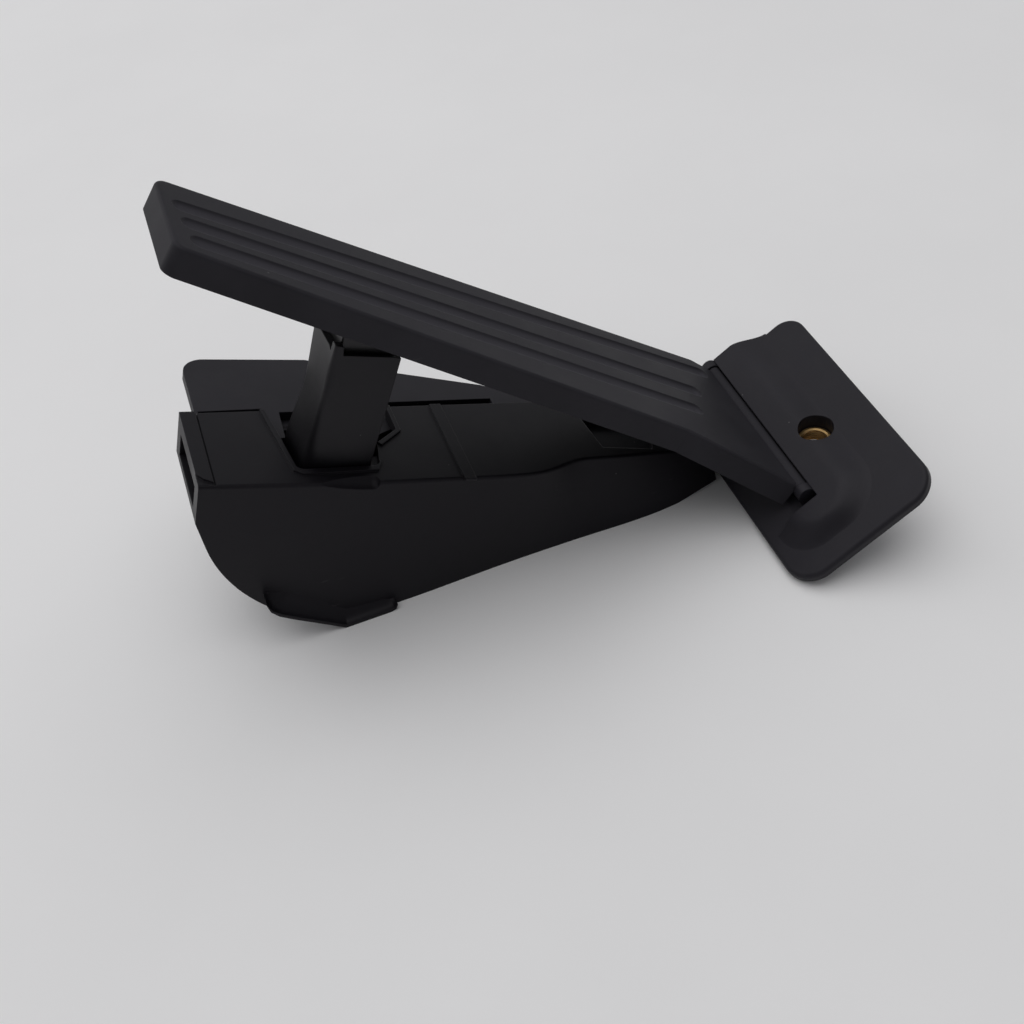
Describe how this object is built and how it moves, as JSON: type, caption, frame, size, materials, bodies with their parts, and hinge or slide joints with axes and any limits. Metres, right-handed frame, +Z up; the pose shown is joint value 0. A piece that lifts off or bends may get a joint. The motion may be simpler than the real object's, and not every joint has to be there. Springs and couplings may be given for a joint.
{
  "type": "accelerator pedal",
  "caption": "Floor-hinged accelerator pedal: grooved treadle on a bolted foot plate, pushing a square link arm into a wedge sensor housing with a side flange and connector socket.",
  "frame": {"origin": "on the resting plane, under the middle of the part's bounding box", "axes": "+X along the pedal from the free end of the treadle and the connector to the foot plate, +Y across it toward the side flange, +Z up from the table the part rests on"},
  "size_m": [0.2124, 0.1221, 0.1473],
  "materials": {
    "housing_plastic": "satin moulded",
    "frame_plastic": "satin moulded",
    "treadle_plastic": "satin moulded",
    "arm_plastic": "satin moulded",
    "shoe_plastic": "smooth bearing plastic",
    "washer_plastic": "natural nylon",
    "brass": "turned",
    "terminal_metal": "tin plated",
    "rubber": "matt",
    "zinc_steel": "zinc plated",
    "steel": "ground",
    "spring_steel": "oiled spring wire",
    "ferrite": "sintered",
    "board": "solder mask",
    "chip": "moulded package"
  },
  "bodies": {
    "base": {"back_cover": "housing_plastic", "base_frame": "frame_plastic", "bolt_bush": "brass", "connector_shroud": "housing_plastic", "connector_terminals": "terminal_metal", "cover_gasket": "rubber", "cover_screws": "zinc_steel", "foot_plate": "frame_plastic", "frame_screws": "zinc_steel", "friction_washers": "washer_plastic", "hinge_pin": "steel", "hinge_ring": "zinc_steel", "housing": "housing_plastic", "pivot_pin": "steel", "rest_pad": "rubber", "return_spring_inner": "spring_steel", "return_spring_outer": "spring_steel", "sensor_board": "board", "sensor_chips": "chip", "spring_seat": "shoe_plastic", "stop_pad": "rubber"},
    "treadle": {"treadle": "treadle_plastic", "track_plate": "steel"},
    "lever": {"link_arm": "arm_plastic", "slide_shoe": "shoe_plastic", "pivot_bushes": "brass", "sensor_magnet": "ferrite"}
  },
  "joints": [
    {"name": "treadle_hinge", "type": "hinge", "parent": "base", "child": "treadle", "pos_m": [0.07414, 0, 0.01515], "axis": [0, -1, 0], "range_deg": [0, 9], "stiffness_Nm_per_rad": 4, "springref_deg": -22.92},
    {"name": "link_pivot", "type": "hinge", "parent": "base", "child": "lever", "pos_m": [0.04001, 0, 0.007], "axis": [0, -1, 0], "range_deg": [0, 10.8], "stiffness_Nm_per_rad": 4, "springref_deg": -22.92, "deforming": ["return_spring_outer", "return_spring_inner"]}
  ],
  "couplings": [
    {"joint": "link_pivot", "follows": "treadle_hinge", "ratio": 1.19}
  ]
}
